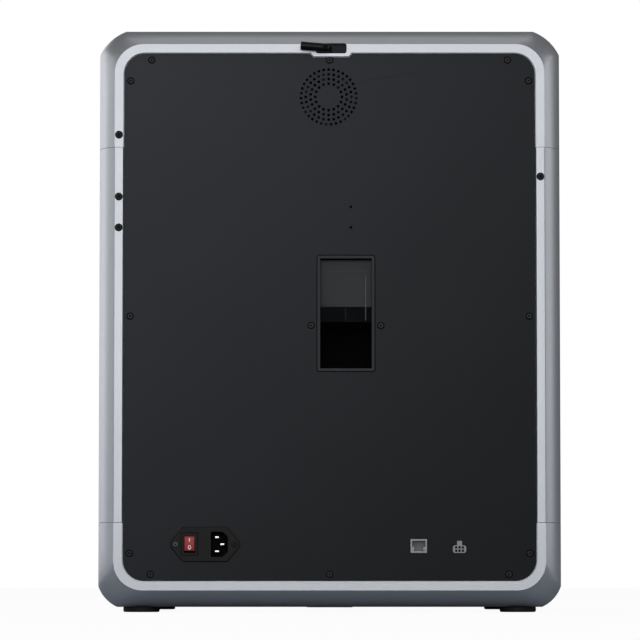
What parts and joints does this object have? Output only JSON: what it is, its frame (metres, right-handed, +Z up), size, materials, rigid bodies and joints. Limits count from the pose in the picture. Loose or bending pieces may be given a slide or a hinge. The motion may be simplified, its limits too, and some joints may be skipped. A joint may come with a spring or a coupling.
{
  "type": "enclosed filament printer",
  "caption": "Enclosed desktop filament 3D printer with cast silver frame, dark rear panel, purge chute, power inlet, glass door and lid.",
  "frame": {"origin": "on the floor plane of the feet, under the middle of the frame", "axes": "+Z up, +Y out of the rear panel, +X to the right as seen from the door"},
  "size_m": [0.449, 0.4942, 0.5725],
  "materials": {
    "frame_metal": "fine satin silver",
    "rear_panel_paint": "matt dark grey powder coat",
    "side_panel_paint": "matt dark grey powder coat",
    "deck_metal": "mill finish",
    "foot_rubber": "matt black",
    "black_steel": "black oxide",
    "black_plastic": "fine grain black",
    "grey_plastic": "plain grey",
    "clear_plastic": "clear",
    "bright_metal": "bright",
    "red_plastic": "translucent red",
    "board_green": "solder mask",
    "brass_part": "plain",
    "motor_case": "satin",
    "ground_steel": "ground",
    "plate_coat": "textured coat",
    "carbon_black": "black anodised",
    "smoked_glass": "lightly smoked",
    "screen_glass": "black glass"
  },
  "bodies": {
    "chassis": {"frame_top": "frame_metal", "frame_top_rear": "frame_metal", "frame_top_front": "frame_metal", "corner_posts": "frame_metal", "frame_base": "frame_metal", "frame_base_rear": "frame_metal", "frame_base_front": "frame_metal", "back_panel": "rear_panel_paint", "side_panels": "side_panel_paint", "base_deck": "deck_metal", "feet": "foot_rubber", "panel_screws": "rear_panel_paint", "band_screws": "black_steel", "chute_trim": "rear_panel_paint", "chute_duct": "black_plastic", "chute_baffle": "grey_plastic", "chute_guard": "clear_plastic", "filament_port": "black_plastic", "filament_elbow": "black_plastic", "inlet_housing": "black_plastic", "inlet_pins": "bright_metal", "inlet_screws": "black_steel", "main_board": "board_green", "board_standoffs": "brass_part", "network_jack": "bright_metal", "accessory_socket": "grey_plastic", "power_supply": "deck_metal", "exhaust_fan_frame": "black_plastic", "exhaust_filter": "black_plastic", "stepper_motors": "motor_case", "guide_rods": "ground_steel", "rod_brackets": "side_panel_paint", "belt_brackets": "side_panel_paint", "side_belts": "foot_rubber", "door_brackets": "black_steel", "touch_screen": "screen_glass"},
    "door": {"door_glass": "smoked_glass", "door_fittings": "black_plastic"},
    "lid": {"lid_rim": "black_plastic", "lid_glass": "smoked_glass"},
    "bed": {"bed_carriage": "side_panel_paint", "bed_blocks": "side_panel_paint", "bed_bushings": "brass_part", "bed_heater": "deck_metal", "print_plate": "plate_coat"},
    "screw_left": {"lead_screw_left": "ground_steel"},
    "screw_right": {"lead_screw_right": "ground_steel"},
    "gantry": {"cross_beam": "carbon_black", "beam_carriers": "side_panel_paint"},
    "toolhead": {"toolhead_carriage": "black_plastic", "toolhead_cover": "black_plastic", "toolhead_fan_frame": "black_plastic", "hotend": "deck_metal"},
    "head_fan": {"toolhead_fan_rotor": "black_plastic"},
    "pulley_left": {"drive_pulley_left": "bright_metal"},
    "pulley_right": {"drive_pulley_right": "bright_metal"},
    "front_idler_left": {"idler_left": "bright_metal"},
    "front_idler_right": {"idler_right": "bright_metal"},
    "power_rocker": {"rocker_switch": "red_plastic"},
    "exhaust_rotor": {"exhaust_fan_rotor": "black_plastic"}
  },
  "joints": [
    {"name": "door_swing", "type": "hinge", "parent": "chassis", "child": "door", "pos_m": [-0.203, -0.2401, 0.28], "axis": [0, 0, -1], "range_deg": [0, 110]},
    {"name": "lid_lift", "type": "slide", "parent": "chassis", "child": "lid", "axis": [0, 0, 1], "range_m": [0, 0.25]},
    {"name": "bed_lift", "type": "slide", "parent": "chassis", "child": "bed", "axis": [0, 0, 1], "range_m": [-0.12, 0.1795]},
    {"name": "screw_turn_left", "type": "hinge", "parent": "chassis", "child": "screw_left", "pos_m": [-0.184, -0.01, 0.25], "axis": [0, 0, 1], "range_deg": [-5500, 8200]},
    {"name": "screw_turn_right", "type": "hinge", "parent": "chassis", "child": "screw_right", "pos_m": [0.184, -0.01, 0.25], "axis": [0, 0, 1], "range_deg": [-5500, 8200]},
    {"name": "gantry_y", "type": "slide", "parent": "chassis", "child": "gantry", "axis": [0, 1, 0], "range_m": [-0.16, 0.16]},
    {"name": "toolhead_x", "type": "slide", "parent": "gantry", "child": "toolhead", "axis": [1, 0, 0], "range_m": [-0.152, 0.152]},
    {"name": "pulley_turn_left", "type": "hinge", "parent": "chassis", "child": "pulley_left", "pos_m": [-0.184, 0.205, 0.49], "axis": [0, 0, 1], "range_deg": [-1450, 1450]},
    {"name": "pulley_turn_right", "type": "hinge", "parent": "chassis", "child": "pulley_right", "pos_m": [0.184, 0.205, 0.49], "axis": [0, 0, 1], "range_deg": [-1450, 1450]},
    {"name": "idler_turn_left", "type": "hinge", "parent": "chassis", "child": "front_idler_left", "pos_m": [-0.184, -0.205, 0.493], "axis": [0, 0, 1], "range_deg": [-1450, 1450]},
    {"name": "idler_turn_right", "type": "hinge", "parent": "chassis", "child": "front_idler_right", "pos_m": [0.184, -0.205, 0.493], "axis": [0, 0, 1], "range_deg": [-1450, 1450]},
    {"name": "rocker_tilt", "type": "hinge", "parent": "chassis", "child": "power_rocker", "pos_m": [0.135, 0.2305, 0.0653], "axis": [-1, 0, 0], "range_deg": [0, 14]},
    {"name": "exhaust_spin", "type": "hinge", "parent": "chassis", "child": "exhaust_rotor", "pos_m": [0.001, 0.225, 0.4991], "axis": [0, 1, 0], "continuous": true},
    {"name": "head_fan_spin", "type": "hinge", "parent": "toolhead", "child": "head_fan", "pos_m": [0, -0.02, 0.475], "axis": [0, 1, 0], "continuous": true}
  ],
  "couplings": [
    {"joint": "screw_turn_left", "follows": "bed_lift", "rad_per_m": 785.4},
    {"joint": "screw_turn_right", "follows": "bed_lift", "rad_per_m": 785.4},
    {"joint": "pulley_turn_left", "follows": "gantry_y", "rad_per_m": 144.93},
    {"joint": "pulley_turn_right", "follows": "gantry_y", "rad_per_m": -144.93},
    {"joint": "idler_turn_left", "follows": "gantry_y", "rad_per_m": 144.93},
    {"joint": "idler_turn_right", "follows": "gantry_y", "rad_per_m": -144.93}
  ]
}
